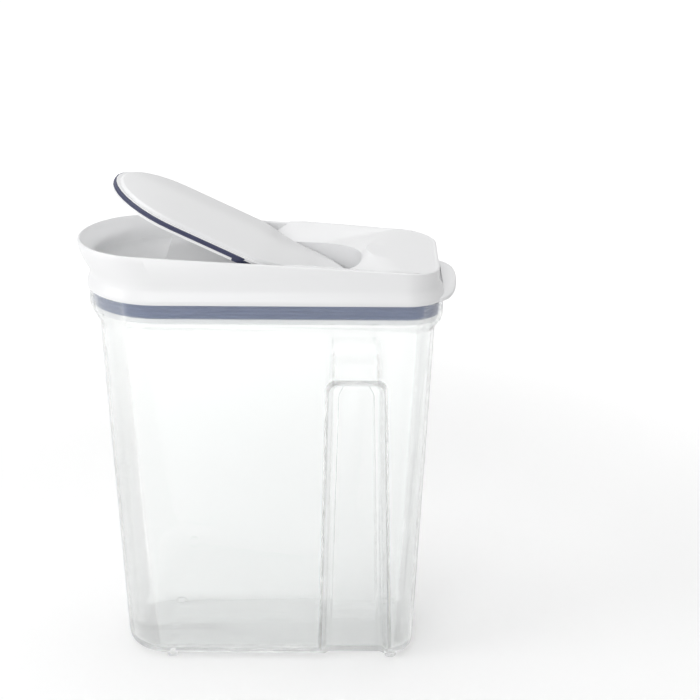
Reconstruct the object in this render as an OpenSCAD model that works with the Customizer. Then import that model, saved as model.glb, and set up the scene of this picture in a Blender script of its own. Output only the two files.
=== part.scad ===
// Cereal keeper with a flip spout: a clear tapered container, a white lid that
// plugs into its collar with a ribbed seal, and a see-saw flap that opens the spout
// when its rear pad is pressed. Millimetres, +Z up, spout towards -X, the origin at
// the middle of the footprint, the flap open.

/* [Container] */
// Length of the wall outline just under the collar, spout end to rear end
wall_len = 220.7; // [200:0.1:240]
// Width of the wall outline just under the collar
wall_wid = 92; // [84:0.5:100]
// Height of the container, feet to rim
container_h = 263.5; // [220:0.5:300]
// Slope of the two end walls, in degrees
end_draft = 2.6; // [1:0.1:4]
// Slope of the two long walls, in degrees
side_draft = 0.7; // [0:0.1:2]
// Plan radius of the two corners under the spout
spout_corner_r = 33.4; // [26:0.2:40]
// Plan radius of the two rear corners
rear_corner_r = 20.5; // [14:0.2:26]
// Thickness of the clear wall
wall = 2.3; // [1.8:0.1:3]
// Thickness of the clear floor
floor_t = 3.6; // [2.5:0.1:5]
// Height of the round at the bottom edge
base_round = 8; // [5:0.5:12]
// Height of the feet
foot_h = 2; // [1:0.1:3]
// Diameter of a foot
foot_d = 8; // [5:0.5:12]

/* [Collar] */
// How far the collar stands out beyond the wall at the spout end
collar_step_spout = 7.9; // [5:0.1:10]
// How far the collar stands out beyond the wall at the rear end
collar_step_rear = 5.2; // [3:0.1:8]
// How far the collar stands out beyond each long wall
collar_step_side = 3.5; // [2:0.1:5]
// Height of the upright part of the collar
collar_h = 12; // [10:0.5:18]
// Height of the slope between wall and collar
collar_slope_h = 10; // [6:0.5:14]

/* [Grip recess] */
// Distance of the recess centre line from the middle of the container
grip_x = 59.3; // [50:0.1:64]
// Width of the recess at its top
grip_w_top = 36.5; // [28:0.5:42]
// Width of the recess at the floor
grip_w_base = 46.4; // [38:0.2:50]
// Height of the top of the recess
grip_top_z = 208; // [160:1:225]
// Depth of the recess
grip_depth = 9; // [5:0.5:11]
// Slope of the recess flanks, sideways run over its depth
grip_flank = 4.6; // [3:0.2:8]

/* [Lid] */
// Gap between the container's rim and the lid's flange
rim_gap = 0.3; // [0.2:0.05:0.6]
// How far the lid's skirt stands out beyond the collar
skirt_over = 1.5; // [0.8:0.1:2.5]
// How far the upright wall of the lid stands inside its skirt, each side
waist_in = 2.5; // [1.5:0.1:4]
// Height of the flared skirt
skirt_h = 10.2; // [8:0.2:14]
// Height of the lid's rim above its flange, at the middle of its length
rim_h = 28.5; // [26:0.1:34]
// Fall of the rim for each millimetre towards the rear
rim_fall = 0.054; // [0.02:0.002:0.07]
// Curve of the rim, seen from the side
rim_curve = 0.00025; // [0:0.00001:0.0004]
// How far the pouring lip leans out beyond the waist
spout_lean = 7.7; // [4:0.1:10]
// Thickness of the lid's walls
lid_wall = 2.2; // [1.8:0.1:2.8]
// Height of the tray floor above the flange
tray_h = 15.6; // [14:0.1:16]
// Thickness of the tray floor
tray_t = 2; // [1.5:0.1:3]
// Where the pouring hole ends, towards the rear
pour_rear_x = -67.2; // [-75:0.1:-60]
// How far the lid's inner side draws in from the rim down to the tray floor
tray_draft = 1; // [0.6:0.1:1.4]

/* [Rear deck] */
// How far the nose of the deck lies behind the well
nose_gap = 2.7; // [1.5:0.1:8]
// Spread of the deck's edge towards the rear for each millimetre sideways
nose_spread = 0.48; // [0.3:0.01:0.6]
// How far the deck lies below the rim
deck_drop = 0.3; // [0.2:0.1:3]
// How far the rear lift tab stands out beyond the skirt
tab_out = 8; // [5:0.1:10]
// Half of the lift tab's width
tab_half_w = 40; // [28:0.5:42]
// Thickness of the lift tab
tab_t = 5; // [4.6:0.1:6]
// Fall of the tab's top towards its two ends
tab_fall = 2.2; // [1:0.1:2.4]
// Half of the length of the slot between the tab and the rear wall
slot_half = 17; // [8:0.5:20]

/* [Flap] */
// Angle of the open flap
open_angle = 25.5; // [18:0.1:27]
// Distance of the hinge axis from the middle of the container
hinge_x = 4.8; // [0:0.1:8]
// Depth of the hinge axis below the tray floor
hinge_drop = 4.4; // [3.8:0.1:4.8]
// Half of the flap's width over the spout
flap_r = 44.5; // [40:0.1:44.8]
// Length of the flap from the hinge axis to its tip
flap_front = 117.7; // [112:0.1:118]
// Length of the flap from the hinge axis to the end of its push pad
flap_rear = 56; // [50:0.1:56.5]
// Half of the width of the push pad
pad_half_w = 31.5; // [26:0.1:34]
// Height of the flap's edge above the tray floor when closed
flap_top_h = 5.4; // [5.2:0.1:6]
// Thickness of the cover at its edge
cover_t = 2; // [1.5:0.1:2.2]
// Width of the flat ledge round the flap's raised panel
ledge_w = 2.4; // [1.5:0.1:4]
// Height of the panel above that ledge
panel_rise = 2.2; // [1:0.1:2.4]
// Radius of the finger dish in the push pad
dish_r = 18; // [14:0.5:20]
// Depth of the finger dish
dish_depth = 2.6; // [1.5:0.1:3]
// Gap between the flap's edge and the well that it sinks into
well_gap = 1.5; // [1:0.1:2.5]
// Height of the scoop's foot above the tray floor, at the well
scoop_h = 0.5; // [0.2:0.1:3]

/* [Seals] */
// Height of the lid's seal band
seal_h = 10; // [8:0.1:11]
// Gap between the seal band and the collar
seal_gap = 0.3; // [0.15:0.05:0.5]
// Thickness of the seal band
seal_t = 2.6; // [2:0.1:3.5]
// Number of ribs on the seal band
seal_ribs = 4; // [3:1:6]
// Height of the flap liner's lip, below the seal
liner_lip_h = 1.7; // [1.2:0.1:1.8]
// How far the flap's seal stands out beyond the flap's sides
flap_seal_out = 0.5; // [0.3:0.1:0.5]
// Width of the flap's seal
flap_seal_w = 5.6; // [4:0.1:7]

/* [Hinge pin] */
// Diameter of the pin
pin_d = 3; // [2.4:0.1:3.2]
// Radial clearance of the flap's lugs on the pin
pin_clear = 0.05; // [0.02:0.01:0.1]
// Diameter of the bosses and lugs round the pin
boss_d = 6.8; // [6:0.1:7]

/* [Lid base] */
// Depth of the plug below the lid's flange
plug_h = 13.8; // [13:0.1:16]
// Thickness of the lid base's floor
base_t = 2; // [1.5:0.1:2.4]
// Thickness of the plug wall
plug_wall = 2; // [1.5:0.1:2.6]
// Thickness of the throat and the well's walls
throat_t = 1.6; // [1.2:0.1:2]

/* [Hidden] */

$fn = 64;
// Segments in each quarter of an outline's corner
arc_n = 9;
clear = [0.86, 0.89, 0.88, 0.45];
white = [0.95, 0.95, 0.95];
slate = [0.45, 0.48, 0.58];
steel = [0.75, 0.76, 0.78];

// Heights
wall_top_z = container_h - collar_h - collar_slope_h;
flange_z = container_h + rim_gap;
waist_z = flange_z + skirt_h;
tray_z = flange_z + tray_h;
plug_z = flange_z - plug_h;
hinge_z = tray_z - hinge_drop;
flap_z = tray_z + flap_top_h;

// Outlines: [spout end x, rear end x, half width, spout radius, rear radius]
wall_mid_x = (collar_step_spout - waist_in + spout_lean - collar_step_rear - tab_out) / 2;
wall_o = [wall_mid_x - wall_len / 2, wall_mid_x + wall_len / 2,
          wall_wid / 2, spout_corner_r, rear_corner_r];
collar_hw = wall_o[2] + collar_step_side;
collar_o = [wall_o[0] - collar_step_spout, wall_o[1] + collar_step_rear,
            collar_hw, collar_hw - 0.5, rear_corner_r + collar_step_side];
skirt_o = inset(collar_o, -skirt_over);
rear_in = waist_in + 1.9;
waist_o = [skirt_o[0] + waist_in, skirt_o[1] - rear_in, skirt_o[2] - waist_in,
           skirt_o[3] - waist_in, skirt_o[4] - waist_in];
tray_o = inset(waist_o, lid_wall + tray_draft);
mouth_o = inset(collar_o, wall);
seal_o = inset(mouth_o, seal_gap);
plug_o = inset(seal_o, seal_t + 0.1);
plug_in_o = inset(plug_o, plug_wall);
throat_o = rear_at(inset(plug_in_o, 0.3 + throat_t), pour_rear_x);

// The flap's seal ring, seen from above, and the lip that the liner traps
seal_tip = 1.1;
seal_rear_x = hinge_x - 17;
flap_seal_o = [hinge_x - flap_front - seal_tip, seal_rear_x,
               flap_r + flap_seal_out, flap_r + flap_seal_out - 0.5, 12];
seal_in_o = inset(flap_seal_o, flap_seal_w);
seal_lip = 3;
seal_lip_t = 1;

// The neck of the flap, where its outline narrows towards the push pad
neck_x0 = hinge_x - 19;
neck_x1 = hinge_x + 10;
pad_x = hinge_x + 18;
pad_power = 2.4;
// The well's neck lies this much further back, clear of the tilting flap
well_shift = 2;
well_front_x = hinge_x - 6;
scoop_front_x = hinge_x - 12;

// Hinge pin and its bosses, which stand outside the well's walls
pin_fit = 0.02;
hinge_hw = well_gap + mix(flap_r, pad_half_w,
                          smooth((hinge_x - well_shift - neck_x0) / (neck_x1 - neck_x0)));
pin_half = hinge_hw + throat_t + 1.6;
lug_in = pad_half_w - 5.5;
lug_t = 6.3;

// The push pad's dish, a shallow bowl cut by a sphere
shoulder_w = 1.8;
panel_z = flap_z + panel_rise;
dish_x = hinge_x + flap_rear - ledge_w - shoulder_w - 0.6 - dish_r;
dish_ball = (dish_r * dish_r + dish_depth * dish_depth) / (2 * dish_depth);

function smooth(t) = t < 0 ? 0 : t > 1 ? 1 : t * t * (3 - 2 * t);
function mix(a, b, t) = a + (b - a) * t;
function inset(o, d) =
    [o[0] + d, o[1] - d, o[2] - d, max(o[3] - d, 1), max(o[4] - d, 1)];
function rear_at(o, x) =
    [o[0], x, o[2], min(o[3], x - o[0] - 2.1), 2];
function arc(cx, cy, r, a0) =
    [for (i = [0:arc_n]) [cx + r * cos(a0 + 90 * i / arc_n),
                          cy + r * sin(a0 + 90 * i / arc_n)]];
function outline(o) = concat(
    arc(o[1] - o[4], o[4] - o[2], o[4], -90),
    arc(o[1] - o[4], o[2] - o[4], o[4], 0),
    arc(o[0] + o[3], o[2] - o[3], o[3], 90),
    arc(o[0] + o[3], o[3] - o[2], o[3], 180));
function ring(o, z) = [for (p = outline(o)) [p[0], p[1], z]];

// Skins a stack of rings, counter-clockwise seen from its end; a loop of rings
// closes on itself, and any other stack gets flat caps
module skin(rings, loop = false) {
    n = len(rings[0]);
    m = len(rings);
    sides = [for (k = [0:(loop ? m - 1 : m - 2)], i = [0:n - 1])
             let (j = (i + 1) % n, a = k * n, b = ((k + 1) % m) * n)
             each [[a + i, b + i, b + j], [a + i, b + j, a + j]]];
    caps = loop ? [] : [[for (i = [0:n - 1]) i],
                        [for (i = [n - 1:-1:0]) (m - 1) * n + i]];
    polyhedron([for (r = rings) each r], concat(sides, caps), convexity = 10);
}

// A solid under a grid of points, given in rows, down to a flat underside; the
// grid's rows run counter-clockwise seen from its first row's side
module patch(rows, z0) {
    nr = len(rows);
    nc = len(rows[0]);
    t = nr * nc;
    tops = [for (r = [0:nr - 2], c = [0:nc - 2]) let (a = r * nc + c)
            each [[a, a + nc, a + nc + 1], [a, a + nc + 1, a + 1]]];
    unders = [for (f = tops) [f[2] + t, f[1] + t, f[0] + t]];
    edge = concat([for (c = [0:nc - 2]) c],
                  [for (r = [0:nr - 2]) r * nc + nc - 1],
                  [for (c = [nc - 1:-1:1]) (nr - 1) * nc + c],
                  [for (r = [nr - 1:-1:1]) r * nc]);
    ne = len(edge);
    sides = [for (i = [0:ne - 1]) let (a = edge[i], b = edge[(i + 1) % ne])
             each [[a, b, b + t], [a, b + t, a + t]]];
    tops_pts = [for (row = rows) each row];
    polyhedron(concat(tops_pts, [for (p = tops_pts) [p[0], p[1], z0]]),
               concat(tops, unders, sides), convexity = 10);
}

module plate(o, z0, z1) {
    translate([0, 0, z0])
        linear_extrude(z1 - z0)
            polygon(outline(o));
}

// Container

// The drafted wall's outline at a height
function wall_at(z) =
    let (e = (wall_top_z - z) * tan(end_draft), s = (wall_top_z - z) * tan(side_draft))
    [wall_o[0] + e, wall_o[1] - e, wall_o[2] - s, wall_o[3] - s, wall_o[4] - s];
function mix_o(a, b, t) = [for (i = [0:4]) mix(a[i], b[i], t)];
// From the drafted wall to the collar, inset by the wall for the inner side
function shoulder(d) =
    [for (k = [0:4]) ring(inset(mix_o(wall_at(wall_top_z), collar_o, smooth(k / 4)), d),
                          wall_top_z + collar_slope_h * k / 4)];
function outer_rings() = concat(
    [for (a = [0:22.5:90]) let (z = foot_h + base_round * (1 - cos(a)))
     ring(inset(wall_at(z), base_round * (1 - sin(a))), z)],
    shoulder(0),
    [ring(collar_o, container_h - 0.6), ring(inset(collar_o, 0.5), container_h)]);
inner_round = base_round - wall;
inner_z = foot_h + floor_t;
function inner_rings() = concat(
    [ring(inset(collar_o, wall - 0.5), container_h),
     ring(inset(collar_o, wall), container_h - 0.6)],
    [for (k = [4:-1:0]) shoulder(wall)[k]],
    [for (a = [90:-22.5:0]) let (z = inner_z + inner_round * (1 - cos(a)))
     ring(inset(wall_at(z), wall + inner_round * (1 - sin(a))), z)]);

grip_corner_r = 7;
grip_round = 2;
// The recess's outline at a depth behind the front wall, grown by g
function grip_ring(depth, g, extra) =
    let (run = grip_flank * depth / grip_depth + extra,
         hb = grip_w_base / 2 + g - run, ht = grip_w_top / 2 + g - run,
         top = grip_top_z + g - run, r = grip_corner_r,
         flat = concat([[grip_x - hb, -1], [grip_x + hb, -1]],
                       arc(grip_x + ht - r, top - r, r, 0),
                       arc(grip_x - ht + r, top - r, r, 90)))
    [for (p = flat) [p[0], depth + g - wall_at(p[1])[2], p[1]]];
module grip(g) {
    skin([grip_ring(grip_depth, g, grip_round),
          grip_ring(grip_depth - grip_round / 4, g, grip_round / 4),
          grip_ring(grip_depth - grip_round, g, 0),
          grip_ring(-4 - g, g, 0)]);
}
module both_sides() {
    children();
    mirror([0, 1, 0])
        children();
}

foot_xs = [wall_o[0] + 43, wall_o[1] - 26];
foot_y = wall_o[2] - 11;
module container() {
    color(clear) {
        difference() {
            union() {
                skin(concat(outer_rings(), inner_rings()));
                intersection() {
                    both_sides()
                        grip(wall);
                    skin(outer_rings());
                }
            }
            both_sides()
                grip(0);
        }
        for (x = foot_xs, y = [-foot_y, foot_y])
            translate([x, y, 0])
                cylinder(h = foot_h + 1, d = foot_d);
    }
}

// Lid shell

function rim_z(x) = flange_z + rim_h - rim_fall * x - rim_curve * x * x;
function deck_z(x) = rim_z(x) - deck_drop;
function lean(u) = spout_lean * pow(sin(90 * min(1, u / 0.92)), 1.3);
// A ring of the upright wall's outer side, a share u of the way to the rim
function rise(u, d) =
    let (o = inset(waist_o, d), s = [o[0] - lean(u), o[1], o[2], o[3], o[4]])
    [for (p = outline(s)) [p[0], p[1], mix(waist_z, rim_z(p[0]), u)]];
// A ring of its inner side, a share v of the way from the tray floor to the rim: upright
// beside the closed flap, then leaning out to the pouring lip
function bowl_o(v) =
    let (o = inset(waist_o, lid_wall + tray_draft * (1 - v)),
         out = spout_lean * smooth((v - 0.25) / 0.75))
    [mix(tray_tip_x, o[0], v) - out, o[1], o[2], o[3], o[4]];
function bowl(v) = [for (p = outline(bowl_o(v))) [p[0], p[1], mix(tray_z, rim_z(p[0]), v)]];
tray_tip_x = flap_seal_o[0] - 0.3;
edge_r = 0.8;
lip_u = 0.96;
flange_t = 2.2;
// The lid's walls and tray floor: from the floor's underside down to the flange, up the
// outside, over the rim and down to the floor again
module lid_walls() {
    skin(concat(
        [ring(tray_o, tray_z - tray_t), ring(tray_o, flange_z + flange_t),
         ring(plug_in_o, flange_z + flange_t), ring(plug_in_o, flange_z),
         ring(inset(skirt_o, edge_r / 2), flange_z)],
        [for (k = [0:4])
         ring(mix_o(skirt_o, waist_o, smooth(k / 4)), mix(flange_z + edge_r, waist_z, k / 4))],
        [for (u = [0.13, 0.28, 0.45, 0.62, 0.8, lip_u]) rise(u, 0)],
        [rise(1, lid_wall / 4), rise(1, lid_wall * 3 / 4)],
        [for (v = [0.93, 0.8, 0.65, 0.5, 0.35, 0.2, 0]) bowl(v)]));
}
// The funnel from the tray floor down to the throat, grown by d, from z0 to z1
pour_o = rear_at(inset(bowl_o(0), 0.3), pour_rear_x);
module funnel(d, z0, z1) {
    skin(concat([ring(inset(throat_o, -d), z0)],
                [for (k = [0:4]) ring(mix_o(inset(throat_o, -d), inset(pour_o, -d), smooth(k / 4)),
                                      mix(flange_z, tray_z - 2.5, k / 4))],
                [ring(inset(pour_o, -d), z1)]));
}

// Half of the flap's outline, from its tip to the end of the pad, as [x, half width],
// grown by d, with the neck moved back by s
function half_flap(d, s = 0) =
    let (r = flap_r + d, xf = hinge_x - flap_front + flap_r, reach = hinge_x + flap_rear - pad_x + d)
    concat([for (a = [0:10:90]) [xf - r * cos(a), r * sin(a)]],
           [for (k = [0:8]) [mix(neck_x0, neck_x1, k / 8) + s,
                             mix(flap_r, pad_half_w, smooth(k / 8)) + d]],
           [for (a = [0:10:90]) [pad_x + reach * pow(sin(a), 2 / pad_power),
                                 (pad_half_w + d) * pow(cos(a), 2 / pad_power)]]);
function flap_pts(d, s = 0) =
    let (h = half_flap(d, s), n = len(h))
    concat([for (p = h) [p[0], -p[1]]], [for (i = [n - 2:-1:1]) h[i]]);
module flap_2d(d, s = 0) {
    polygon(flap_pts(d, s));
}
module behind_2d(x) {
    translate([x, -100])
        square([200, 200]);
}
// The well's outline, which follows the rear of the flap
module well_2d(d) {
    intersection() {
        flap_2d(d + well_gap, well_shift);
        behind_2d(well_front_x - d);
        polygon(outline(inset(plug_in_o, 0.3 + throat_t - d)));
    }
}

// The scoop and the deck: a concave surface from the edge of the well out to the rim
// and to the nose of the deck, and the deck's top from there to the rear wall
nose_x = hinge_x + flap_rear + well_gap + nose_gap;
function nose_at(y) = nose_x + nose_spread * (sqrt(y * y + 36) - 6);
deck_o = inset(waist_o, lid_wall - 0.8);
scoop_side_n = 9;
scoop_rear_n = 8;
scoop_edge_in = 1;
turn_x = pad_x + 12;
function deck_end(y) =
    let (r = deck_o[4], e = max(0, abs(y) - (deck_o[2] - r)))
    deck_o[1] - r + sqrt(max(0, r * r - e * e));
// Half width of the well at x, drawn in a little
function well_w(x) =
    let (s = smooth((x - well_shift - neck_x0) / (neck_x1 - neck_x0)),
         u = max(0, x - pad_x) / (hinge_x + flap_rear - pad_x + well_gap),
         end = pow(max(0, 1 - pow(min(1, u), pad_power)), 1 / pad_power))
    (x < pad_x ? mix(flap_r, pad_half_w, s) + well_gap : (pad_half_w + well_gap) * end)
    - scoop_edge_in;
function well_end(t) = mix(turn_x, hinge_x + flap_rear + well_gap, sin(90 * t)) - scoop_edge_in * t;
// Columns of the +Y half as [point at the well, point at the rim or nose, last point]
function scoop_cols() = concat(
    [for (k = [0:scoop_side_n - 1])
     let (t = k / scoop_side_n, x = mix(scoop_front_x, turn_x, t),
          xo = mix(scoop_front_x, nose_at(deck_o[2]), t))
     [[x, well_w(x)], [xo, deck_o[2]], [xo, deck_o[2] + 0.5]]],
    [for (k = [0:scoop_rear_n])
     let (t = k / scoop_rear_n, y = deck_o[2] * (1 - t), x = well_end(t))
     [[x, max(0, well_w(x + scoop_edge_in * t))], [nose_at(y), y], [deck_end(y), y]]]);
function scoop_z(x, t) =
    let (fade = smooth((x - scoop_front_x) / 24))
    tray_z - 0.5 + fade * mix(scoop_h + 0.5, deck_z(x) - tray_z + 0.5, pow(t, 1.15));
function scoop_row(t) =
    let (cols = scoop_cols(), n = len(cols), a = t < 1 ? 0 : 1, f = t < 1 ? t : t - 1,
         half = [for (c = cols)
                 let (x = mix(c[a][0], c[a + 1][0], f), y = mix(c[a][1], c[a + 1][1], f))
                 [x, y, scoop_z(a == 0 ? c[1][0] : x, min(t, 1))]])
    concat(half, [for (i = [n - 2:-1:0]) [half[i][0], -half[i][1], half[i][2]]]);
module scoop_and_deck() {
    patch([for (t = [0, 0.25, 0.5, 0.75, 1, 1.25, 1.5, 1.75, 2]) scoop_row(t)], tray_z - 1);
}

// The hollow under the deck, which leaves the deck an even thickness
deck_t = 2.4;
module deck_pocket() {
    hw = deck_o[2] - 3;
    patch([for (t = [0, 0.5, 1])
           [for (k = [8:-1:-8])
            let (y = hw * sin(90 * k / 8), x = mix(nose_at(y) + 4, deck_end(y) - 3, t))
            [x, y, deck_z(x) - deck_t]]],
          tray_z - tray_t - 1);
}

// The lift tab, half an ellipse that overhangs the collar at the rear
tab_root_x = skirt_o[1] - 4.7;
function tab_ring(f, z, fall = 0) =
    [for (a = [-90:10:90])
     let (y = tab_half_w * f * sin(a))
     [tab_root_x + (skirt_o[1] + tab_out - tab_root_x) * f * cos(a), y,
      z - fall * smooth((abs(y) - 12) / (tab_half_w - 12))]];
module lift_tab() {
    top = flange_z + tab_t;
    skin([tab_ring(0.97, flange_z), tab_ring(1, flange_z + 0.9),
          tab_ring(1, top - 1.5, tab_fall), tab_ring(0.985, top - 0.5, tab_fall),
          tab_ring(0.94, top, tab_fall), tab_ring(0.75, top, tab_fall),
          tab_ring(0.5, top, tab_fall), tab_ring(0.28, top)]);
}
// The slot behind the tab, where finger tips reach
module tab_slot() {
    translate([waist_o[1] + 0.1, -slot_half, flange_z + 1.7])
        cube([2.7, 2 * slot_half, 12]);
}

module across(y0, y1, d) {
    translate([hinge_x, y0, hinge_z])
        rotate([-90, 0, 0])
            cylinder(h = y1 - y0, d = d);
}

module well_prism(d, z0, z1) {
    translate([0, 0, z0])
        linear_extrude(z1 - z0)
            well_2d(d);
}

module lid_shell() {
    low = plug_z + base_t;
    color(white)
        difference() {
            union() {
                lid_walls();
                funnel(throat_t, low, tray_z - 0.5);
                scoop_and_deck();
                lift_tab();
                well_prism(throat_t, low, tray_z - 0.5);
                for (s = [-1, 1])
                    across(s > 0 ? hinge_hw - 1 : -pin_half - 2,
                           s > 0 ? pin_half + 2 : 1 - hinge_hw, boss_d);
            }
            funnel(0, low - 1, tray_z + 2);
            well_prism(0, low - 1, rim_z(0) + 5);
            across(-pin_half - 0.2, pin_half + 0.2, pin_d + 2 * pin_fit);
            tab_slot();
            deck_pocket();
        }
}

// Lid base: the plug ring, its floor and the lip that holds the seal

module lid_base() {
    lip_o = inset(seal_o, 0.5);
    lip_z = flange_z - 0.4 - seal_h;
    color(white)
        skin([ring(inset(lip_o, 0.6), plug_z), ring(lip_o, plug_z + 0.6),
              ring(lip_o, lip_z), ring(plug_o, lip_z), ring(plug_o, flange_z),
              ring(plug_in_o, flange_z), ring(plug_in_o, plug_z + base_t),
              ring(throat_o, plug_z + base_t), ring(throat_o, plug_z)], loop = true);
}

// Seal band, with ribs that press on the collar

rib_depth = 0.6;
module lid_seal() {
    z0 = flange_z - 0.35 - seal_h;
    pitch = seal_h / seal_ribs;
    ribs = [for (k = [0:seal_ribs - 1]) each
            [ring(inset(seal_o, rib_depth), z0 + pitch * k + 0.1),
             ring(seal_o, z0 + pitch * (k + 0.35)),
             ring(seal_o, z0 + pitch * (k + 0.65)),
             ring(inset(seal_o, rib_depth), z0 + pitch * (k + 1) - 0.1)]];
    color(slate)
        skin(concat(ribs, [ring(inset(seal_o, seal_t), z0 + seal_h - 0.1),
                           ring(inset(seal_o, seal_t), z0 + 0.1)]), loop = true);
}

module hinge_pin() {
    color(steel)
        across(-pin_half, pin_half, pin_d);
}

// Flap, drawn closed and then turned to its open rest

module opened() {
    translate([hinge_x, 0, hinge_z])
        rotate([0, open_angle, 0])
            translate([-hinge_x, 0, -hinge_z])
                children();
}
function flap_ring(d, z) = [for (p = flap_pts(d)) [p[0], p[1], z]];
under_z = flap_z - cover_t;
skirt_low_z = tray_z + 1;
lip_z = flap_z - 0.5;
rebate = 1.1;
module cover_top() {
    skin([flap_ring(-rebate, under_z), flap_ring(-rebate, lip_z),
          flap_ring(-0.1, lip_z), flap_ring(0, flap_z - 0.25), flap_ring(-0.25, flap_z),
          flap_ring(-ledge_w, flap_z), flap_ring(-ledge_w - 0.3, flap_z + panel_rise * 0.3),
          flap_ring(-ledge_w - shoulder_w * 0.6, panel_z - 0.35),
          flap_ring(-ledge_w - shoulder_w, panel_z)]);
}
module dish_sphere() {
    translate([dish_x, 0, panel_z - dish_depth + dish_ball])
        sphere(r = dish_ball, $fn = 96);
}
module flap_cover() {
    cover_skirt_x = hinge_x - 11;
    color(white)
        opened()
            difference() {
                union() {
                    cover_top();
                    translate([0, 0, skirt_low_z])
                        linear_extrude(lip_z + 0.2 - skirt_low_z)
                            intersection() {
                                difference() {
                                    flap_2d(-0.1);
                                    flap_2d(-1.9);
                                }
                                behind_2d(cover_skirt_x);
                            }
                }
                dish_sphere();
                translate([0, 0, under_z - 1])
                    linear_extrude(panel_z - 1.8 - under_z + 1)
                        intersection() {
                            flap_2d(-ledge_w - shoulder_w - 0.8);
                            ahead_2d(dish_x - dish_r - 2);
                        }
            }
}

liner_z = tray_z + 0.3;
liner_t = 1.5;
seal_z = liner_z + liner_lip_h;
liner_step_z = under_z - seal_lip_t - 0.15;
liner_end_x = hinge_x + 11.5;
// Half width of the bridge that carries the liner over the rear bar of the seal, and
// where the seal's rear part reaches down past the liner's lip
bridge_hw = flap_r - 12;
seal_drop_x = seal_rear_x - 14;
liner_front_o = inset(seal_in_o, 0.3);
module ahead_2d(x) {
    translate([x - 200, -100])
        square([200, 200]);
}
module liner_rear_2d() {
    intersection() {
        flap_2d(-2.3);
        behind_2d(seal_rear_x + 0.3);
        ahead_2d(liner_end_x);
    }
}
module flap_liner() {
    top_o = inset(liner_front_o, seal_lip);
    color(white)
        opened()
            difference() {
                union() {
                    plate(liner_front_o, liner_z, liner_step_z + 0.01);
                    translate([0, 0, liner_z])
                        linear_extrude(liner_lip_h - 0.1)
                            intersection() {
                                polygon(outline(inset(flap_seal_o, 0.4)));
                                ahead_2d(seal_drop_x - 0.3);
                            }
                    plate(top_o, liner_step_z, under_z);
                    translate([0, 0, liner_z])
                        linear_extrude(under_z - liner_z)
                            liner_rear_2d();
                    translate([top_o[1] - 4, -bridge_hw, liner_step_z])
                        cube([seal_rear_x + 2 - top_o[1] + 4, 2 * bridge_hw, under_z - liner_step_z]);
                    for (s = [-1, 1])
                        translate([0, s > 0 ? lug_in : -lug_in - lug_t, 0]) {
                            across(0, lug_t, boss_d);
                            translate([hinge_x - boss_d / 2, 0, hinge_z])
                                cube([boss_d, lug_t, liner_z - hinge_z + 0.5]);
                        }
                }
                plate(inset(top_o, liner_t), liner_z + liner_t, under_z + 1);
                across(-60, 60, pin_d + 2 * pin_clear);
            }
}

// The rings of the seal's own profile, from its foot round to its inner side
module flap_seal() {
    top_z = lip_z - 0.1;
    lip_low_z = under_z - seal_lip_t;
    band_h = top_z - seal_z;
    rebate_o = inset(flap_seal_o, flap_seal_out + rebate - 0.1);
    lip_in_o = inset(seal_in_o, seal_lip - 0.3);
    color(slate)
        opened()
            difference() {
                union() {
                    skin([ring(inset(flap_seal_o, 0.4), seal_z),
                          ring(flap_seal_o, seal_z + band_h * 0.12),
                          ring(flap_seal_o, seal_z + band_h * 0.3),
                          ring(inset(flap_seal_o, 0.4), seal_z + band_h * 0.44),
                          ring(inset(flap_seal_o, 0.4), seal_z + band_h * 0.52),
                          ring(inset(flap_seal_o, 0.1), seal_z + band_h * 0.66),
                          ring(inset(flap_seal_o, 0.1), seal_z + band_h * 0.8),
                          ring(inset(flap_seal_o, 0.5), top_z),
                          ring(rebate_o, top_z), ring(rebate_o, under_z),
                          ring(lip_in_o, under_z), ring(lip_in_o, lip_low_z),
                          ring(seal_in_o, lip_low_z), ring(seal_in_o, seal_z)], loop = true);
                    translate([0, 0, liner_z])
                        linear_extrude(seal_z - liner_z + 0.3)
                            intersection() {
                                difference() {
                                    polygon(outline(inset(flap_seal_o, 0.4)));
                                    polygon(outline(seal_in_o));
                                }
                                behind_2d(seal_drop_x);
                            }
                }
                translate([lip_in_o[1] - 4, -bridge_hw - 0.3, liner_step_z - 0.15])
                    cube([30, 2 * bridge_hw + 0.6, 10]);
                translate([0, 0, under_z])
                    linear_extrude(cover_t)
                        flap_2d(-rebate + 0.05);
            }
}

container();
lid_shell();
lid_base();
lid_seal();
hinge_pin();
flap_cover();
flap_liner();
flap_seal();
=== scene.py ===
import math

import bmesh
import bpy
from mathutils import Matrix, Vector


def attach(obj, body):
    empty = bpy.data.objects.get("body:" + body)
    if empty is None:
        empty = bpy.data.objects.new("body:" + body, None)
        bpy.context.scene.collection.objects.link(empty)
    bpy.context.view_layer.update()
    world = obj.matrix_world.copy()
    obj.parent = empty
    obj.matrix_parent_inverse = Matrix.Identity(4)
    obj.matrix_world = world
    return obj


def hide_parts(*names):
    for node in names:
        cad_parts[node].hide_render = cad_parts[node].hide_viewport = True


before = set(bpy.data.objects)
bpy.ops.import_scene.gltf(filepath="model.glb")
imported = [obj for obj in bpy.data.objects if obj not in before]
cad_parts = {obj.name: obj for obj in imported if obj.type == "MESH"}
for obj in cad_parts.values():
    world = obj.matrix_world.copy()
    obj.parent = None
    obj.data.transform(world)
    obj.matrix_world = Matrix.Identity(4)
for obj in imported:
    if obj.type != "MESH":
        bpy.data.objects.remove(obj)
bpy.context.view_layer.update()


# Camera: on the container's front side, a little right of its middle and looking
# down at the lid, with a long lens. The view is the photograph's, in metres.
heading, dip, tilt = math.radians(0.185), math.radians(21.205), math.radians(0.381)
eye = (0.051284, -1.118742, 0.648716)
picture_px, focal_px, film_mm = 700, 1778.93, 36
ahead = Vector(
    (math.sin(heading) * math.cos(dip), math.cos(heading) * math.cos(dip), -math.sin(dip))
)
level = Vector((math.cos(heading), -math.sin(heading), 0))
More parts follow.
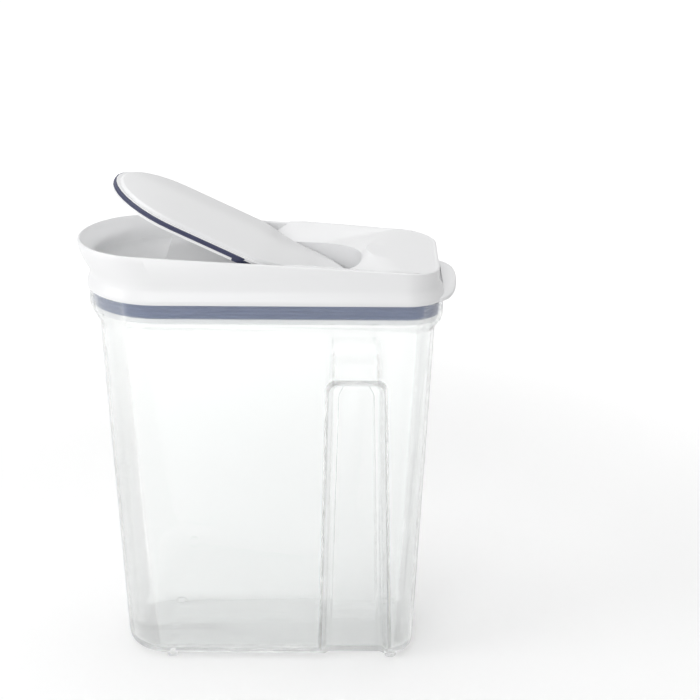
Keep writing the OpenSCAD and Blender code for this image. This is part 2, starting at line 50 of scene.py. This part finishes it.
upright = level.cross(ahead)
right = math.cos(tilt) * level + math.sin(tilt) * upright
up = -math.sin(tilt) * level + math.cos(tilt) * upright
turn = Matrix((right, up, -ahead)).transposed().to_4x4()
camera = bpy.data.objects.new("camera", bpy.data.cameras.new("camera"))
camera.matrix_world = Matrix.Translation(eye) @ turn
camera.data.sensor_width = film_mm
camera.data.lens = focal_px / picture_px * film_mm
camera.data.clip_start, camera.data.clip_end = 0.05, 60
bpy.context.scene.collection.objects.link(camera)
bpy.context.scene.camera = camera
bpy.context.scene.view_settings.view_transform = "Standard"


# Studio: a wide pale sweep of paper, a white room, and large soft lamps overhead, in
# front and at the left. The room is plain white to the eye and dimmer as a light.
class Tone:
    """A value in a material's nodes. Arithmetic on it adds Math nodes."""

    def __init__(self, finish, socket):
        self.finish, self.socket = finish, socket

    def maths(self, operation, *values):
        return self.finish.node("Math", {"operation": operation}, dict(enumerate(values)))

    def __add__(self, other):
        return self.maths("ADD", self, other)

    def __mul__(self, other):
        return self.maths("MULTIPLY", self, other)

    def __pow__(self, other):
        return self.maths("POWER", self, other)

    def larger(self, other):
        return self.maths("MAXIMUM", self, other)

    def between(self, low, high):
        """0 below low, 1 above high and smooth from one to the other."""
        return self.finish.node(
            "MapRange",
            {"interpolation_type": "SMOOTHSTEP"},
            {"Value": self, "From Min": low, "From Max": high},
        )


class Finish:
    """A node tree, of a material or the world, and the one way to add its nodes."""

    def __init__(self, owner):
        self.owner = owner
        owner.use_nodes = True
        self.tree = owner.node_tree
        self.tree.nodes.clear()

    def fill(self, socket, value):
        """Links a tone to the socket, or sets a constant on it."""
        if isinstance(value, Tone):
            self.tree.links.new(value.socket, socket)
        else:
            socket.default_value = value

    def node(self, kind, settings=None, inputs=None, out=0):
        made = self.tree.nodes.new("ShaderNode" + kind)
        for name, value in (settings or {}).items():
            setattr(made, name, value)
        for name, value in (inputs or {}).items():
            self.fill(made.inputs[name], value)
        return Tone(self, made.outputs[out]) if made.outputs else None

    def place(self, unit=1.0):
        """The object's own coordinates. The unit is one length, or three, in metres."""
        spans = unit if isinstance(unit, tuple) else (unit,) * 3
        spot = self.node("TexCoord", out="Object")
        return self.node("Mapping", inputs={"Vector": spot, "Scale": [1 / span for span in spans]})

    def noise(self, spot, scale, detail=2.0, rough=0.5):
        return self.node(
            "TexNoise", inputs={"Vector": spot, "Scale": scale, "Detail": detail, "Roughness": rough}
        )

    def blend(self, share, low, high):
        """Colour low where share is 0 and high where it is 1."""
        factor, first, second, colour_out = 0, 6, 7, 2
        return self.node(
            "Mix", {"data_type": "RGBA"}, {factor: share, first: low, second: high}, colour_out
        )

    def bump(self, height, strength, distance=0.0002):
        inputs = {"Height": height, "Strength": strength, "Distance": distance}
        return self.node("Bump", inputs=inputs)

    def surface(self, inputs):
        """Ends the tree in one Principled shader."""
        self.end(self.node("BsdfPrincipled", inputs=inputs))

    def end(self, shader):
        kind = "OutputWorld" if isinstance(self.owner, bpy.types.World) else "OutputMaterial"
        self.node(kind, inputs={"Surface": shader})


def seen_directly(finish):
    """1 for what the eye sees, also in a gloss or through the clear plastic."""
    path = finish.node("LightPath").socket.node
    rays = ("Is Camera Ray", "Is Glossy Ray", "Is Transmission Ray")
    straight, gloss, through = (Tone(finish, path.outputs[name]) for name in rays)
    return straight.larger(gloss).larger(through)


room_light = 0.42
room = Finish(bpy.data.worlds.new("white room"))
bpy.context.scene.world = room.owner
strength = seen_directly(room) * (1 - room_light) + room_light
room.end(room.node("Background", inputs={"Color": (1, 1, 1, 1), "Strength": strength}))

# How much the paper is lifted towards white, under the object and far from it, and
# the distances in metres over which one passes into the other.
lift_near, lift_gain = 0.24, 0.4
fade_from, fade_to = 0.3, 1.0
paper = Finish(bpy.data.materials.new("pale paper"))
grain = paper.noise(paper.place(0.01), 3.0)
matt = paper.node(
    "BsdfPrincipled",
    inputs={
        "Base Color": paper.blend(grain, (0.86, 0.86, 0.86, 1), (0.88, 0.88, 0.88, 1)),
        "Roughness": 0.9,
        "Specular IOR Level": 0.1,
    },
)
distance = paper.node("VectorMath", {"operation": "LENGTH"}, {0: paper.place()}, out="Value")
lift = seen_directly(paper) * (distance.between(fade_from, fade_to) * lift_gain + lift_near)
glow = paper.node("Emission", inputs={"Color": (1, 1, 1, 1), "Strength": lift})
paper.end(paper.node("AddShader", inputs={0: matt, 1: glow}))

sweep_half_width = 12
ground = bmesh.new()
bmesh.ops.create_grid(ground, x_segments=1, y_segments=1, size=sweep_half_width)
sweep = bpy.data.objects.new("paper_floor", bpy.data.meshes.new("paper_floor"))
ground.to_mesh(sweep.data)
ground.free()
sweep.data.materials.append(paper.owner)
bpy.context.scene.collection.objects.link(sweep)


def soft_lamp(name, at, aim, width, height, power):
    lamp = bpy.data.lights.new(name, "AREA")
    lamp.shape, lamp.size, lamp.size_y, lamp.energy = "RECTANGLE", width, height, power
    holder = bpy.data.objects.new(name, lamp)
    holder.location = at
    holder.rotation_euler = (Vector(aim) - Vector(at)).to_track_quat("-Z", "Y").to_euler()
    bpy.context.scene.collection.objects.link(holder)


middle, lid_middle = (0, 0, 0.2), (0, 0, 0.25)
soft_lamp("overhead", at=(-0.1, 0.1, 1.7), aim=middle, width=1.6, height=1.2, power=10)
soft_lamp("front", at=(-0.45, -1.9, 0.85), aim=middle, width=1.2, height=0.9, power=11)
soft_lamp("left", at=(-1.5, -0.5, 0.66), aim=lid_middle, width=0.9, height=0.7, power=7)


# Container: a tall box of clear plastic, moulded in one shot with a stepped collar,
# two grip recesses and four small feet.
def cast(node, body, finish, sharp=35):
    """The CAD solid's own shape as a shaded piece: its corners joined up, smooth over
    the curves and crisp where two faces meet at more than sharp degrees."""
    weld_gap, sliver = 2e-6, 1e-6
    skin = bmesh.new()
    skin.from_mesh(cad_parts[node].data)
    bmesh.ops.remove_doubles(skin, verts=skin.verts, dist=weld_gap)
    bmesh.ops.dissolve_degenerate(skin, edges=skin.edges, dist=sliver)
    for face in skin.faces:
        face.smooth = True
    for edge in skin.edges:
        curved = len(edge.link_faces) == 2 and edge.calc_face_angle(0) < math.radians(sharp)
        edge.smooth = curved
    piece = bpy.data.objects.new(node + "_shape", bpy.data.meshes.new(node + "_shape"))
    skin.to_mesh(piece.data)
    skin.free()
    bpy.context.scene.collection.objects.link(piece)
    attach(piece, body)
    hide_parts(node)
    piece.data.materials.append(finish.owner)


clear = Finish(bpy.data.materials.new("clear plastic"))
haze = clear.noise(clear.place(0.01), 0.6, detail=4)
face_on = clear.blend(haze, (0.955, 0.97, 0.965, 1), (0.975, 0.985, 0.98, 1))
# Painted shade: where a wall is seen edge-on its colour turns grey and less see-through, standing in
# for the longer path of light through the plastic.
edge_on_shade = clear.node("LayerWeight", inputs={"Blend": 0.5}, out="Facing") ** 4
clear.surface(
    {
        "Base Color": clear.blend(edge_on_shade, face_on, (0.33, 0.36, 0.37, 1)),
        "Roughness": haze * 0.03 + 0.01,
        "IOR": 1.5,
        "Transmission Weight": 1.0,
        "Alpha": edge_on_shade * 0.2 + 0.7,
    }
)
cast("container", "container_body", clear)


# Lid base: the white plug ring and floor that sit in the collar. Its lip carries the
# seal, and its throat lets the food out to the spout.
white = Finish(bpy.data.materials.new("white plastic"))
spot = white.place(0.001)
cloud = white.noise(spot, 0.03, detail=3)
pores = white.noise(spot, 2.5, detail=3, rough=0.6)
white.surface(
    {
        "Base Color": white.blend(cloud, (0.85, 0.853, 0.86, 1), (0.87, 0.872, 0.877, 1)),
        "Roughness": cloud * 0.06 + 0.3,
        "Normal": white.bump(pores, 0.06),
    }
)
cast("lid_base", "lid", white)


# Lid seal: a ribbed band of soft slate-blue silicone, stretched round the plug.
def silicone(name, deep, pale, roughness):
    """Soft rubber, cloudy between two close colours and finely matt."""
    rubber = Finish(bpy.data.materials.new(name))
    spot = rubber.place(0.001)
    cloud = rubber.noise(spot, 0.08, detail=3)
    pores = rubber.noise(spot, 1.6, detail=4, rough=0.65)
    rubber.surface(
        {
            "Base Color": rubber.blend(cloud, deep, pale),
            "Roughness": pores * 0.12 + roughness,
            "Normal": rubber.bump(pores, 0.15),
        }
    )
    return rubber


slate = silicone("slate silicone", (0.155, 0.19, 0.3, 1), (0.185, 0.22, 0.335, 1), 0.5)
cast("lid_seal", "lid", slate)


# Lid shell: the glossy white lid, moulded with a leaning spout, a scooped well for
# the flap's pad, a raised rear deck and a tab to lift it by.
cast("lid_shell", "lid", white, sharp=40)


# Hinge pin: a drawn steel rod pressed into the lid's two bosses. Its grain is drawn
# out along the rod.
steel = Finish(bpy.data.materials.new("drawn steel"))
draw = steel.noise(steel.place((1 / 3000, 1 / 60, 1 / 3000)), 1.0, detail=3)
steel.surface(
    {
        "Base Color": steel.blend(draw, (0.6, 0.61, 0.63, 1), (0.72, 0.73, 0.75, 1)),
        "Metallic": 1.0,
        "Roughness": draw * 0.15 + 0.22,
    }
)
cast("hinge_pin", "lid", steel)


# Flap liner: the hollow white underside of the flap, with two lugs that turn on the pin.
cast("flap_liner", "flap", white)


# Flap seal: a slate silicone ring, trapped between the liner and the cover. It is coloured far
# darker than the lid's seal: painted shade, for the shade under the flap's edge.
shaded_slate = silicone("slate silicone in painted shade", (0.035, 0.04, 0.09, 1), (0.05, 0.055, 0.115, 1), 0.42)
cast("flap_seal", "flap", shaded_slate)


# Flap cover: the white top of the see-saw flap, with a low ledge round its raised panel
# and a finger dish in the push pad.
cast("flap_cover", "flap", white, sharp=40)
